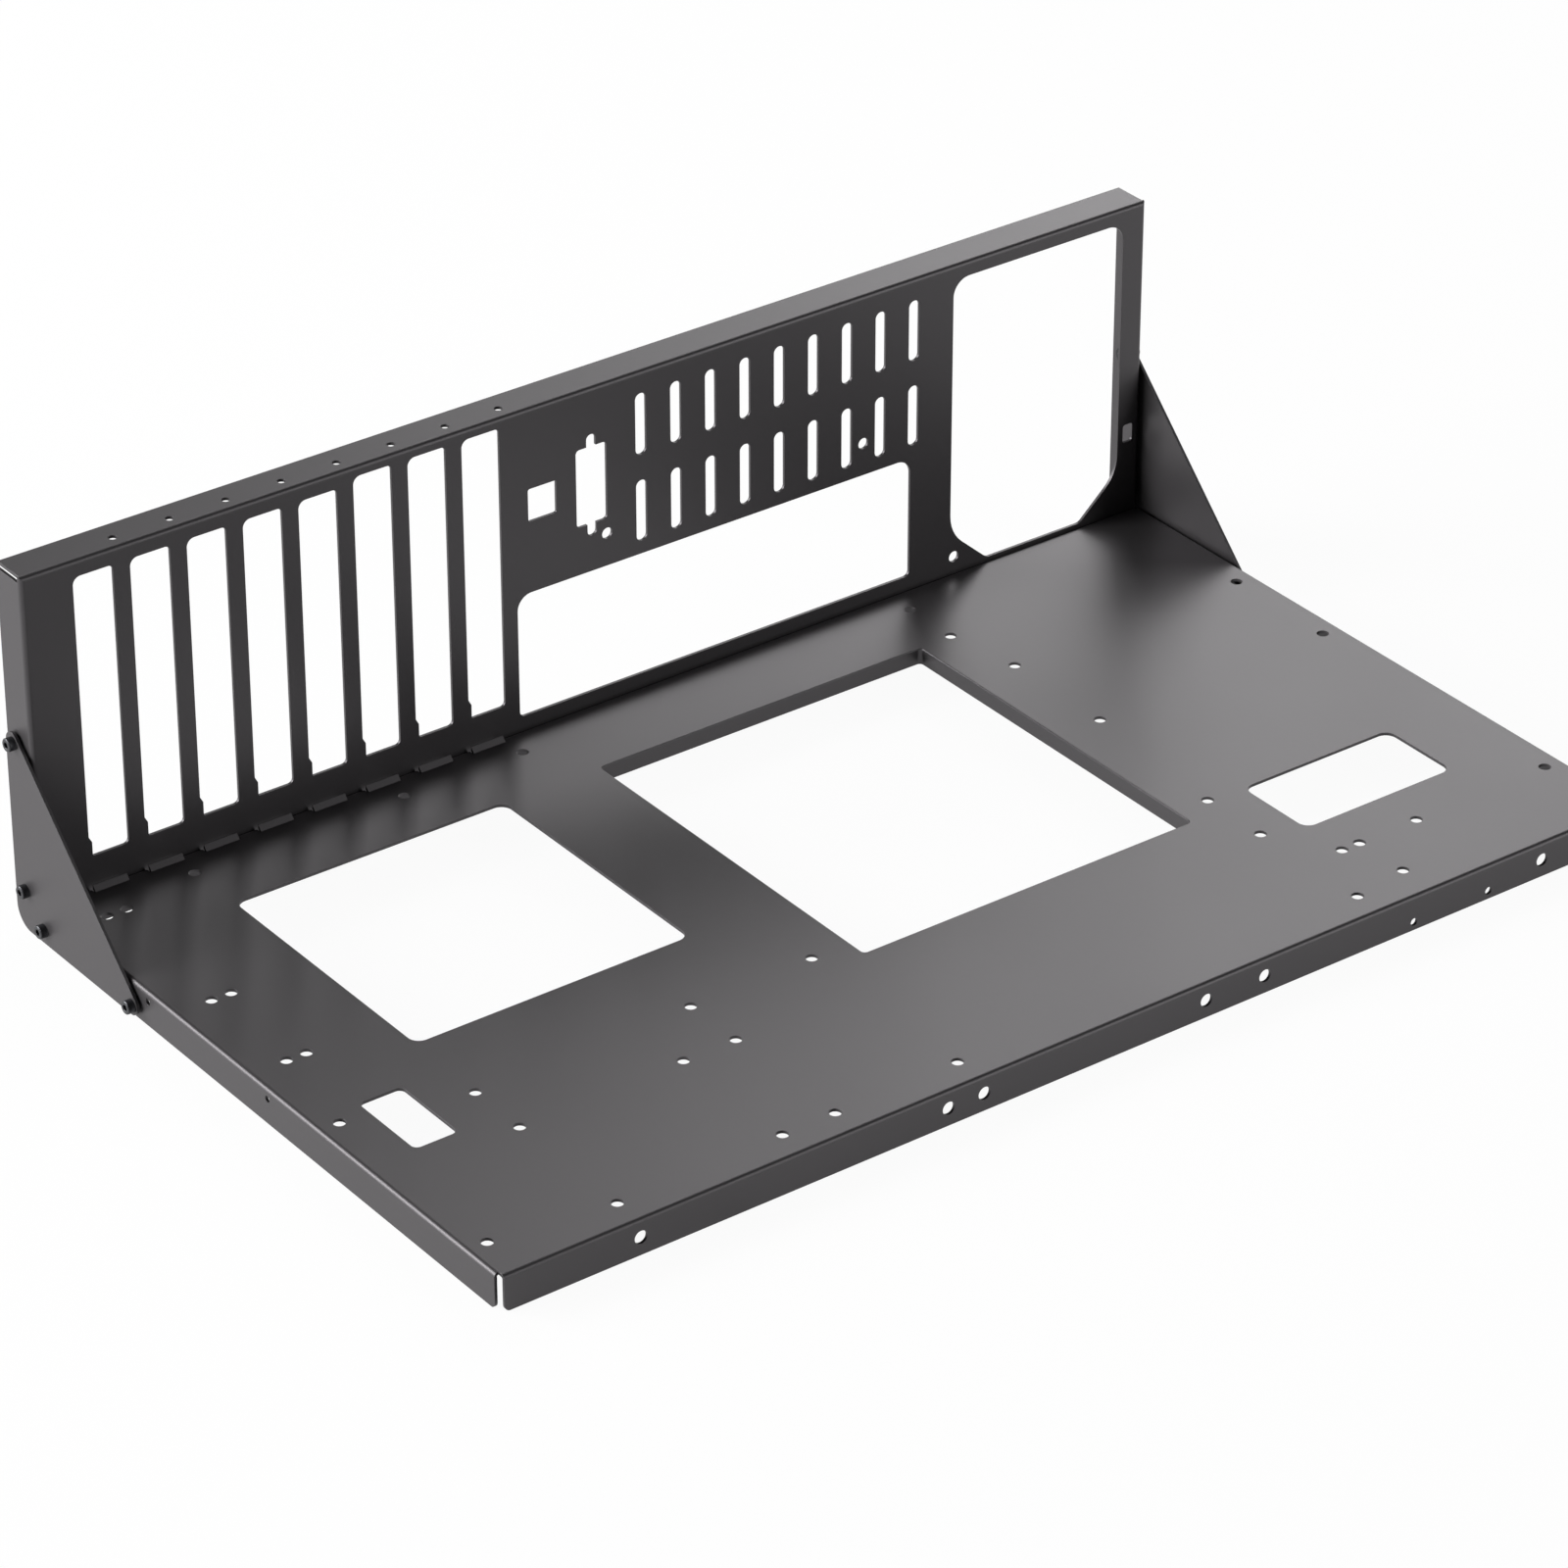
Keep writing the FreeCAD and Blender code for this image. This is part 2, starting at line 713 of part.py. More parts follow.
def open_panel_corners(body):
    """Seams between top and side flanges, and the rounded heels."""
    seam = new_sketch(body, "seam_sketch", "XZ_Plane", f"-{REAR}")
    inner = f"{SIDE} - sizes.sheet"
    top_end = f"{SIDE} - sizes.top_setback"
    top_under = "sizes.height - sizes.sheet"
    seam_low = f"{top_under} - sizes.seam_gap"
    outline(seam, [
        (inner, seam_low, None),
        (SIDE, seam_low, None),
        (SIDE, "sizes.height", None),
        (top_end, "sizes.height", None),
        (top_end, top_under, None),
        (inner, top_under, None),
    ])
    cut = pocket(body, "seam_right", seam, f"sizes.flange_depth - {BEND}", reverse=True)
    mirror(body, "seam_left", [cut])
    rear = value(REAR)

    def on_heel(box):
        at_rear = near(box.YMin, rear) and near(box.YMax, rear)
        return at_rear and level_at(box, 0)

    fillet(body, "panel_heels", "sizes.gusset_heel + sizes.gusset_setback", on_heel)


def card_slot(body, name, middle, top):
    """One card slot up to the given top, with a key at its foot."""
    sketch = new_sketch(body, f"{name}_sketch", "XZ_Plane", f"-{PANEL}")
    low_x = f"({middle} - sizes.slot_width / 2)"
    high_x = f"({middle} + sizes.slot_width / 2)"
    key_x = f"({low_x} + sizes.key_width)"
    key_top = "(sizes.slot_bottom + sizes.key_height)"
    outline(sketch, [
        (key_x, "sizes.slot_bottom", "sizes.key_corner"),
        (high_x, "sizes.slot_bottom", "sizes.slot_corner"),
        (high_x, top, "sizes.slot_corner"),
        (low_x, top, "sizes.slot_top_corner"),
        (low_x, f"{key_top} + sizes.key_slope", "sizes.key_corner"),
        (key_x, key_top, "sizes.key_corner"),
    ])
    return pocket(body, name, sketch, THROUGH)


def cut_card_slots(body):
    """Tall and plain card slots, and their screw holes in the top flange."""
    top = "(sizes.slot_bottom + sizes.slot_length)"
    tall = card_slot(body, "tall_slot", FIRST_SLOT, f"({top} + sizes.tall_slot_rise)")
    row_of(body, "tall_slots", [tall], "sizes.slot_pitch", "sizes.tall_slot_count", to_left=True)
    first_plain = f"({FIRST_SLOT} - sizes.tall_slot_count * sizes.slot_pitch)"
    plain = card_slot(body, "plain_slot", first_plain, top)
    plain_count = f"({SLOTS} - sizes.tall_slot_count)"
    row_of(body, "plain_slots", [plain], "sizes.slot_pitch", plain_count, to_left=True)
    flange = new_sketch(body, "card_hole_sketch", "XY_Plane", "sizes.height")
    place = (f"{FIRST_SLOT} + sizes.card_hole_side", f"{PANEL} + sizes.card_hole_back")
    circles(flange, [place], "sizes.card_hole")
    hole = pocket(body, "card_screw_hole", flange, THROUGH)
    row_of(body, "card_screw_holes", [hole], "sizes.slot_pitch", SLOTS, to_left=True)


def cut_ports(body):
    """Connector window, plug cut-outs and round holes."""
    sketch = new_sketch(body, "port_sketch", "XZ_Plane", f"-{PANEL}")
    low_x = f"({beside('port_from_datum')} - sizes.port_width / 2)"
    high_x = f"({beside('port_from_datum')} + sizes.port_width / 2)"
    low_z = "(sizes.port_level - sizes.port_height / 2)"
    high_z = "(sizes.port_level + sizes.port_height / 2)"
    outline(sketch, [
        (low_x, low_z, "sizes.port_corner"),
        (high_x, low_z, "sizes.port_corner"),
        (high_x, high_z, "sizes.port_top_corner"),
        (low_x, high_z, "sizes.port_top_corner"),
    ])
    window(
        sketch,
        beside("square_from_datum"),
        "sizes.square_level",
        "sizes.square_side",
        "sizes.square_height",
        "sizes.square_corner",
    )
    window(
        sketch,
        right("latch_from_right"),
        "sizes.latch_level",
        "sizes.latch_width",
        "sizes.latch_height",
        "sizes.latch_corner",
    )
    holes = [
        (beside("panel_hole_one"), "sizes.panel_hole_level"),
        (beside("panel_hole_two"), "sizes.panel_hole_level"),
        (right("panel_hole_right"), "sizes.panel_hole_low"),
    ]
    circles(sketch, holes, "sizes.panel_hole")
    pocket(body, "ports", sketch, THROUGH)
    plug_x = beside("plug_from_datum")
    plug = new_sketch(body, "plug_sketch", "XZ_Plane", f"-{PANEL}")
    window(plug, plug_x, "sizes.plug_level", "sizes.plug_width", "sizes.plug_height", "sizes.plug_corner")
    pocket(body, "plug", plug, THROUGH)
    tabs = new_sketch(body, "plug_tab_sketch", "XZ_Plane", f"-{PANEL}")
    upright_slot(tabs, plug_x, "sizes.plug_level", "sizes.plug_tab_width", "sizes.plug_tab_span")
    pocket(body, "plug_tabs", tabs, THROUGH)


def cut_vents(body):
    """Two rows of upright vent slots."""
    sketch = new_sketch(body, "vent_sketch", "XZ_Plane", f"-{PANEL}")
    for level in ("sizes.vent_low", "sizes.vent_high"):
        upright_slot(sketch, beside("vent_from_datum"), level, "sizes.vent_width", "sizes.vent_length")
    vent = pocket(body, "vent", sketch, THROUGH)
    row_of(body, "vents", [vent], "sizes.vent_pitch", "sizes.vent_count")


def cut_supply_opening(body):
    """Tall opening at the right, with its lower corners cut off at a slant."""
    sketch = new_sketch(body, "supply_sketch", "XZ_Plane", f"-{PANEL}")
    high_x = right("supply_strip")
    low_x = f"({high_x} - sizes.supply_width)"
    shoulder = "(sizes.supply_bottom + sizes.supply_chamfer_up)"
    outline(sketch, [
        (f"{low_x} + sizes.supply_chamfer_across", "sizes.supply_bottom", "sizes.supply_foot_round"),
        (f"{high_x} - sizes.supply_chamfer_across", "sizes.supply_bottom", "sizes.supply_foot_round"),
        (high_x, shoulder, "sizes.supply_chamfer_round"),
        (high_x, "sizes.supply_top", "sizes.supply_corner"),
        (low_x, "sizes.supply_top", "sizes.supply_corner"),
        (low_x, shoulder, "sizes.supply_chamfer_round"),
    ])
    pocket(body, "supply_opening", sketch, THROUGH)


def drill_panel_sides(body):
    """Pilot holes for the clinch nuts in the panel's side flanges."""
    side = new_sketch(body, "pilot_sketch", "YZ_Plane", SIDE)
    pilots = [screw_place("top"), screw_place("heel")]
    circles(side, pilots, "sizes.pilot_across + 2 * sizes.fit_gap")
    cut = pocket(body, "pilots_right", side, THROUGH)
    mirror(body, "pilots_left", [cut])


# Gussets, screws and clinch nuts

def screw_place(name):
    """Where one gusset screw goes through the side, as Y and Z."""
    return (f"({PANEL} + sizes.screw_{name}_back)", f"sizes.screw_{name}_level")


def build_gusset(label, base_x):
    """Flat triangular plate with rounded corners and four screw holes."""
    body = new_body(label)
    sketch = new_sketch(body, "gusset_sketch", "YZ_Plane")
    rear = f"({REAR} - sizes.gusset_setback)"
    outline(sketch, [
        (f"{rear} - sizes.gusset_length", "sizes.gusset_lift", "sizes.gusset_tip"),
        (rear, "sizes.gusset_lift", "sizes.gusset_heel"),
        (rear, "sizes.gusset_lift + sizes.gusset_height", "sizes.gusset_tip"),
    ])
    pad(body, "gusset_plate", sketch, "sizes.gusset_sheet")
    holes = new_sketch(body, "gusset_holes_sketch", "YZ_Plane", "sizes.gusset_sheet")
    places = [screw_place(name) for name in ("top", "heel", "foot", "toe")]
    circles(holes, places, "sizes.thread + sizes.screw_clearance")
    pocket(body, "gusset_holes", holes, "2 * sizes.gusset_sheet")
    body.setExpression("Placement.Base.x", base_x)
    return body


def revolve(body, name, corners):
    """Turn a closed outline of radius and height about the body's Z axis."""
    sketch = new_sketch(body, f"{name}_sketch", "XZ_Plane")
    outline(sketch, [(radius, height, None) for radius, height in corners])
    feature = body.newObject("PartDesign::Revolution", name)
    feature.Profile = sketch
    feature.ReferenceAxis = (sketch, ["V_Axis"])
    feature.Angle = 360
    doc.recompute()
    return feature


def place_on_side(body, side, depth, place):
    """Point a body's Z axis out of one side of the chassis, at a place on it."""
    across, level = place
    sign = 1 if side == "right" else -1
    turn = FreeCAD.Rotation(FreeCAD.Vector(0, 1, 0), 90 * sign)
    body.Placement = FreeCAD.Placement(FreeCAD.Vector(0, 0, 0), turn)
    body.setExpression("Placement.Base.x", f"{sign} * ({SIDE} + {depth})")
    body.setExpression("Placement.Base.y", across)
    body.setExpression("Placement.Base.z", level)


def build_screw(label, side, place):
    """Socket head screw. Its head sits on the gusset and its shank points in."""
    body = new_body(label)
    head = "sizes.head_across / 2"
    shank = "sizes.thread / 2"
    revolve(body, "turned_screw", [
        ("0", "-sizes.screw_length"),
        (shank, "-sizes.screw_length"),
        (shank, "0"),
        (head, "0"),
        (head, "sizes.head_height - sizes.head_edge"),
        (f"{head} - sizes.head_edge", "sizes.head_height"),
        ("0", "sizes.head_height"),
    ])
    socket = new_sketch(body, "socket_sketch", "XY_Plane", "sizes.head_height")
    corners = []
    for step in range(6):
        angle = f"{60 * step}"
        across = f"sizes.socket_across / sqrt(3) * cos({angle})"
        up = f"sizes.socket_across / sqrt(3) * sin({angle})"
        corners.append((across, up, None))
    outline(socket, corners)
    pocket(body, "hex_socket", socket, "sizes.socket_depth")
    place_on_side(body, side, "(sizes.gusset_gap + sizes.gusset_sheet)", place)
    return body


def build_nut(label, side, place):
    """Clinch nut. Its pilot fills the flange's hole and holds the gusset off it."""
    body = new_body(label)
    bore = "sizes.thread / 2 + sizes.fit_gap"
    revolve(body, "turned_nut", [
        (bore, "-sizes.nut_height"),
        ("sizes.nut_across / 2", "-sizes.nut_height"),
        ("sizes.nut_across / 2", "0"),
        ("sizes.pilot_across / 2", "0"),
        ("sizes.pilot_across / 2", "sizes.sheet + sizes.gusset_gap"),
        (bore, "sizes.sheet + sizes.gusset_gap"),
    ])
    place_on_side(body, side, "(-sizes.sheet)", place)
    return body


tray = new_body("base_tray")
fold_tray(tray)
open_tray_corners(tray)
cut_bays(tray)
drill_tray(tray)
raise_louvers(tray)

panel = new_body("rear_panel")
fold_panel(panel)
open_panel_corners(panel)
cut_card_slots(panel)
cut_ports(panel)
cut_vents(panel)
cut_supply_opening(panel)
drill_panel_sides(panel)

parts = [tray, panel]
parts.append(build_gusset("gusset_left", f"-{SIDE} - sizes.gusset_gap - sizes.gusset_sheet"))
parts.append(build_gusset("gusset_right", f"{SIDE} + sizes.gusset_gap"))
for side in ("left", "right"):
    for name in ("top", "heel", "foot", "toe"):
        parts.append(build_screw(f"screw_{side}_{name}", side, screw_place(name)))
        parts.append(build_nut(f"clinch_nut_{side}_{name}", side, screw_place(name)))
doc.recompute()

for item in doc.Objects:
    if "Invalid" in item.State or "Error" in item.State:
        raise RuntimeError(f"{item.Label} failed: {item.State}")
for part in parts:
    if part.Shape.isNull() or not part.Shape.isValid():
        raise RuntimeError(f"{part.Label} has no valid shape")
    if len(part.Shape.Solids) != 1:
        raise RuntimeError(f"{part.Label} is not one solid")

os.makedirs("parts", exist_ok=True)
for part in parts:
    part.Shape.exportStep(f"parts/{part.Label}.step")
    box = part.Shape.BoundBox
    size = f"{box.XLength:.1f} x {box.YLength:.1f} x {box.ZLength:.1f}"
    print(f"{part.Label}: {part.Shape.Volume:.1f} cubic mm, {size}")
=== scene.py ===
# %% [markdown]
# The object is a computer chassis of folded steel sheet, one millimetre thick: a flat
# tray, an upright rear panel, and a triangular gusset plate screwed on at each end.
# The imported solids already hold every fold, slot and hole at its real size, so they
# are loaded first, and everything made here is fitted to them.

# %% Load the frame
import bmesh
import bpy
import json
import math
from mathutils import Matrix, Vector


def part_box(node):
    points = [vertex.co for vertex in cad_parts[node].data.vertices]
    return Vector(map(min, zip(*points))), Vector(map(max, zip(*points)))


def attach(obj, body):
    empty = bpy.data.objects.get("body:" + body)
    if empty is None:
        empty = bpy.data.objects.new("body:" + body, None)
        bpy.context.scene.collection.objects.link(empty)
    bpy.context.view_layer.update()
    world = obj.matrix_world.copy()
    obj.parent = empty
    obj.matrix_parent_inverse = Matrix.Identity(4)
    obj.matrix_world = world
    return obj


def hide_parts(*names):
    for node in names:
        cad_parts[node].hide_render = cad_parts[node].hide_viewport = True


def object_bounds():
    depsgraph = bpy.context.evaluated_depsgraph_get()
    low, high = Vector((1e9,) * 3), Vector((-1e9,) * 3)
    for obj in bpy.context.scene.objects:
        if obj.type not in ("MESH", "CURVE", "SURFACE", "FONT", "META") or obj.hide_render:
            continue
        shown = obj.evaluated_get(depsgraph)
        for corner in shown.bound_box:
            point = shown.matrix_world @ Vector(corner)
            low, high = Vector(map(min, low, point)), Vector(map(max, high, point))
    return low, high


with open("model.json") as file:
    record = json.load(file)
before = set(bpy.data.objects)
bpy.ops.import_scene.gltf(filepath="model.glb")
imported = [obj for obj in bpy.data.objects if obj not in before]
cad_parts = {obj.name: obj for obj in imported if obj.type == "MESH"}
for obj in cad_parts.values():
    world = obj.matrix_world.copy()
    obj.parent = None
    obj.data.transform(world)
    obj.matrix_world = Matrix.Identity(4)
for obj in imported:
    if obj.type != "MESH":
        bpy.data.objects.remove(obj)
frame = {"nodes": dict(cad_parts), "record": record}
cad_low, cad_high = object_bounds()
print("Solids loaded:", len(frame["nodes"]))
print("Overall size:", [round(high - low, 4) for low, high in zip(cad_low, cad_high)])

# %% [markdown]
# The camera stands in front and to the left of the chassis and looks down on it. A
# long lens is right here: the photo's parallel edges stay nearly parallel. Its place,
# heading and tilt come from lines and holes of known spacing, so it is set by numbers.

# %% Camera
CAMERA_PLACE = (-1.0653, -1.4013, 1.0790)
CAMERA_HEADING = math.radians(-36.713)
CAMERA_TILT = math.radians(90 - 30.677)
CAMERA_LENS = 150.33
SENSOR = 36.0

camera_data = bpy.data.cameras.new("studio_camera")
camera_data.sensor_width = SENSOR
camera_data.lens = CAMERA_LENS
camera = bpy.data.objects.new("studio_camera", camera_data)
camera.location = CAMERA_PLACE
camera.rotation_euler = (CAMERA_TILT, 0, CAMERA_HEADING)
bpy.context.scene.collection.objects.link(camera)
bpy.context.scene.camera = camera
bpy.context.scene.view_settings.view_transform = "Standard"
print("Camera lens:", CAMERA_LENS, "mm")

# %% [markdown]
# Materials are graphs of nodes, and so is the world. Written as plain sums they are
# easier to read, so a small class stands for one output socket: adding or multiplying
# two of them adds the Math node that does it. The add method makes any other node. It
# takes a socket by its name, or as i and its number where several share one name.

# %% Shader sums
class Graph:
    """The node tree of a material or of the world, with a short way to add nodes."""

    def __init__(self, owner):
        owner.use_nodes = True
        self.owner = owner
        self.tree = owner.node_tree
        self.tree.nodes.clear()

    def add(self, kind, settings=None, **inputs):
        """Add a node, set it up, and give its sockets values or links."""
        node = self.tree.nodes.new(kind)
        for name, setting in (settings or {}).items():
            setattr(node, name, setting)
        for name, given in inputs.items():
            numbered = name[1:].isdigit()
            socket = node.inputs[int(name[1:]) if numbered else name.replace("_", " ")]
            if isinstance(given, Signal):
                self.tree.links.new(given.socket, socket)
            else:
                socket.default_value = given
        return node

    def signal(self, node, output=0):
        """The output of a node, by its name or number, as something to reckon with."""
        return Signal(self, node.outputs[output])


class Signal:
    """One output socket. Sums on it add Math nodes to its graph."""

    def __init__(self, graph, socket):
        self.graph = graph
        self.socket = socket

    def join(self, operation, first, second):
        """The Math node that does one step of a sum."""
        return self.graph.signal(
            self.graph.add("ShaderNodeMath", {"operation": operation}, i0=first, i1=second)
        )

    def __add__(self, other):
        return self.join("ADD", self, other)

    def __radd__(self, other):
        return self.join("ADD", other, self)

    def __sub__(self, other):
        return self.join("SUBTRACT", self, other)

    def __rsub__(self, other):
        return self.join("SUBTRACT", other, self)

    def __mul__(self, other):
        return self.join("MULTIPLY", self, other)

    def __rmul__(self, other):
        return self.join("MULTIPLY", other, self)


print("Node helpers ready:", Graph.__name__, Signal.__name__)

# %% [markdown]
# Three more helpers serve every finish. A real coat is never the same all over, and the
# variation could come from a picture laid on the piece. Noise that is worked out from
# the object's own coordinates has no seams, needs no picture and stays sharp from near.
# It drives a mix of two close colours, and the shader is then sent to the output.

# %% Noise, blend and output
def noise(graph, scale, detail):
    """Grey noise on the object's own coordinates, about one bump in 1/scale metres."""
    place = graph.add("ShaderNodeTexCoord")
    cells = graph.add(
        "ShaderNodeTexNoise",
        {"noise_dimensions": "3D"},
        Vector=graph.signal(place, "Object"),
        Scale=scale,
        Detail=detail,
    )
    return graph.signal(cells, "Fac")


def blend(graph, factor, first, second):
    """A colour between two others, by a factor that changes over the surface."""
    mix = graph.add("ShaderNodeMix", {"data_type": "RGBA"}, i0=factor, i6=first, i7=second)
    return graph.signal(mix, 2)


def finish_surface(graph, shader, output="ShaderNodeOutputMaterial"):
    """Send a shader to the output, and hand the material or the world back."""
    graph.add(output, None, Surface=graph.signal(shader))
    return graph.owner


print("Finish helpers ready:", noise.__name__, blend.__name__, finish_surface.__name__)

# %% [markdown]
# The sheets are powder coated in satin black. Such a coat is a cured skin of tiny
# melted beads: from near it has a faint orange-peel ripple, a couple of millimetres
# across, and a finer grain in it, and its gloss changes a little from place to place.
# The ripple and the grain are a bump, the drift of gloss goes to the roughness, and
# the colour is a little lighter where the coat lies thin. The coat also runs round
# every cut edge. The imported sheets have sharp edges, and a Bevel node turns the shading
# there as a rounded edge would, without a change to the sheet itself. Part of the
# gloss is metallic, because the coat mirrors its surroundings when seen from low down.

# %% Powder coat
COAT_DARK = (0.0665, 0.0628, 0.0660, 1)
COAT_LIGHT = (0.0775, 0.0732, 0.0770, 1)
COAT_METALLIC = 0.70
COAT_ROUGHNESS = 0.42
CLOUD_DRIFT = 0.05
GRAIN_DRIFT = 0.06
CLOUD_SCALE = 14
CLOUD_DETAIL = 3
RIPPLE_SCALE = 520
RIPPLE_DETAIL = 2
GRAIN_SCALE = 2600
GRAIN_DETAIL = 2
CLOUD_IN_TINT = 0.6
RIPPLE_IN_HEIGHT = 0.7
COAT_BUMP = 0.35
COAT_RELIEF = 0.00004
EDGE_RADIUS = 0.00022
EDGE_SAMPLES = 4
MIDDLE_GREY = 0.5


def powder_coat():
    graph = Graph(bpy.data.materials.new("powder_coat"))
    ripple = noise(graph, RIPPLE_SCALE, RIPPLE_DETAIL)
    grain = noise(graph, GRAIN_SCALE, GRAIN_DETAIL)
    cloud = noise(graph, CLOUD_SCALE, CLOUD_DETAIL)
    tint = cloud * CLOUD_IN_TINT + grain * (1 - CLOUD_IN_TINT)
    height = ripple * RIPPLE_IN_HEIGHT + grain * (1 - RIPPLE_IN_HEIGHT)
    drift = (cloud - MIDDLE_GREY) * CLOUD_DRIFT + (grain - MIDDLE_GREY) * GRAIN_DRIFT
    edge = graph.add("ShaderNodeBevel", {"samples": EDGE_SAMPLES}, Radius=EDGE_RADIUS)
    bump = graph.add(
        "ShaderNodeBump",
        None,
        Strength=COAT_BUMP,
        Distance=COAT_RELIEF,
        Height=height,
        Normal=graph.signal(edge, "Normal"),
    )
    shader = graph.add(
        "ShaderNodeBsdfPrincipled",
        None,
        Base_Color=blend(graph, tint, COAT_DARK, COAT_LIGHT),
        Metallic=COAT_METALLIC,
        Roughness=COAT_ROUGHNESS + drift,
        Normal=graph.signal(bump, "Normal"),
    )
    return finish_surface(graph, shader)


coat = powder_coat()
print("Finish made:", coat.name)

# %% [markdown]
# The socket head screws are blackened steel: darker than the coat, with a faint blue
# cast, oily and a little smoother. The clinch nuts inside the flanges are plated with
# black zinc, which is slightly cloudy. Both are a metal with one noise in it, which
# mixes two close colours, sets the roughness and gives a shallow bump, so one function
# makes the two of them.

# %% Screw and nut finishes
METAL_DETAIL = 3
METAL_RELIEF = 0.00002


def dark_metal(name, scale, dark, light, metallic, smooth, drift, bump_strength):
    """A dark metal finish, whose noise drives its colour, roughness and bump."""
    graph = Graph(bpy.data.materials.new(name))
    grain = noise(graph, scale, METAL_DETAIL)
    bump = graph.add(
        "ShaderNodeBump",
        None,
        Strength=bump_strength,
        Distance=METAL_RELIEF,
        Height=grain,
    )
    shader = graph.add(
        "ShaderNodeBsdfPrincipled",
        None,
        Base_Color=blend(graph, grain, dark, light),
        Metallic=metallic,
        Roughness=smooth + grain * drift,
        Normal=graph.signal(bump, "Normal"),
    )
    return finish_surface(graph, shader)


screw_finish = dark_metal(
    "black_oxide",
    scale=3500,
    dark=(0.035, 0.036, 0.040, 1),
    light=(0.075, 0.076, 0.082, 1),
    metallic=0.85,
    smooth=0.30,
    drift=0.12,
    bump_strength=0.25,
)
nut_finish = dark_metal(
    "black_zinc",
    scale=900,
    dark=(0.016, 0.016, 0.018, 1),
    light=(0.032, 0.032, 0.034, 1),
    metallic=0.5,
    smooth=0.38,
    drift=0.16,
    bump_strength=0.2,
)
print("Finishes made:", screw_finish.name, nut_finish.name)

# %% [markdown]
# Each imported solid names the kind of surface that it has, in its record. The finish is
# put into the slots of its object, and its mesh and its place are left as they are.
# The screws and nuts are dressed too, though modelled ones stand in for them later.

# %% Dress the solids
FINISHES = {"powder_coat": coat, "screw_steel": screw_finish, "nut_steel": nut_finish}
for part in frame["record"]["subparts"]:
    solid = frame["nodes"][part["node"]]
    for place in solid.material_slots:
        place.material = FINISHES[part["material_slot"]]

# %% [markdown]
# The gussets are held by socket head screws, and at the size of a screw the packed
# solid is plain: a smooth cap and a smooth shank. The real screw has a cap with fine
# straight ridges round its rim, so that fingers can turn it, a chamfered mouth round a
# six-sided socket with a drilled point at the bottom, and a rolled thread. It could be
# revolved in one go, but the socket and the ridges aren't round. So it is modelled as
# by hand: rings are drawn, joined and pulled out one after the other. These helpers
# select by place, and pull a ring along the screw's axis while it grows or shrinks.

# %% Helpers for modelling
MM = 0.001
MERGE_DISTANCE = 0.002


def begin():
    """Deselect everything, so that the next operator acts on the new piece alone."""
    bpy.ops.object.select_all(action="DESELECT")


def choose(test):
    """Select the points of the edited mesh that pass a test, and what they join."""
    shape = bmesh.from_edit_mesh(bpy.context.edit_object.data)
    for part in (*shape.faces, *shape.edges, *shape.verts):
        part.select = False
    for point in shape.verts:
        point.select = test(point.co / MM)
    shape.select_flush(True)
    bmesh.update_edit_mesh(bpy.context.edit_object.data)


def away(point):
    """How far a point is from the Z axis."""
    return math.hypot(point.x, point.y)


def pull(drop, grow=1.0):
    """Extrude the selected ring along Z by some millimetres, and scale it round Z."""
    bpy.ops.mesh.extrude_region_move(TRANSFORM_OT_translate={"value": (0, 0, drop * MM)})
    bpy.ops.transform.resize(value=(grow, grow, 1), center_override=(0, 0, 0))


def close_up():
    """Merge doubled points and turn all faces outwards."""
    bpy.ops.mesh.select_all(action="SELECT")
    bpy.ops.mesh.remove_doubles(threshold=MERGE_DISTANCE * MM)
    bpy.ops.mesh.normals_make_consistent(inside=False)
    bpy.ops.mesh.select_all(action="DESELECT")


print("Modelling helpers ready, for", 1 / MM, "millimetres in a metre")

# %% [markdown]
# The cap starts at its top. A hexagon is cut into as many points as the outer ring has,
# and the two are bridged, which makes the flat annulus round the socket. The outer ring
# is pulled down into the chamfer and the side, and the inner one into the socket. Every
# second point of the side is then drawn in a little, which raises the ridges.

# %% Screw cap
CAP_RADIUS = 2.25
CAP_HEIGHT = 2.5
CAP_CHAMFER = 0.25
PLAIN_RIM = 0.15
SEAT_EDGE = 0.10
SEAT_SHARE = 0.96
SOCKET_SIDES = 6
SOCKET_ACROSS = 2.0
SOCKET_RADIUS = SOCKET_ACROSS / math.sqrt(3)
MOUTH_FLARE = 1.08
MOUTH_RADIUS = MOUTH_FLARE * SOCKET_RADIUS
MOUTH_CHAMFER = 0.08
SOCKET_DEPTH = 1.3
SOCKET_POINT = 0.25
RIDGE_COUNT = 36
GROOVE_SHARE = 0.96
RIM_POINTS = 2 * RIDGE_COUNT
NEAR = 0.01


def draw_rings(inner):
    """Draw the socket's mouth and the top's outer ring, and bridge the two."""
    begin()
    bpy.ops.mesh.primitive_circle_add(
        vertices=SOCKET_SIDES, radius=MOUTH_RADIUS * MM, location=(0, 0, 0)
    )
    bpy.ops.object.mode_set(mode="EDIT")
    bpy.ops.mesh.subdivide(number_cuts=RIM_POINTS // SOCKET_SIDES - 1)
    bpy.ops.mesh.primitive_circle_add(
        vertices=RIM_POINTS, radius=inner * MM, location=(0, 0, 0)
    )
    bpy.ops.mesh.select_all(action="SELECT")
    bpy.ops.mesh.bridge_edge_loops()
    bpy.ops.mesh.select_all(action="SELECT")
    bpy.ops.transform.translate(value=(0, 0, CAP_HEIGHT * MM))


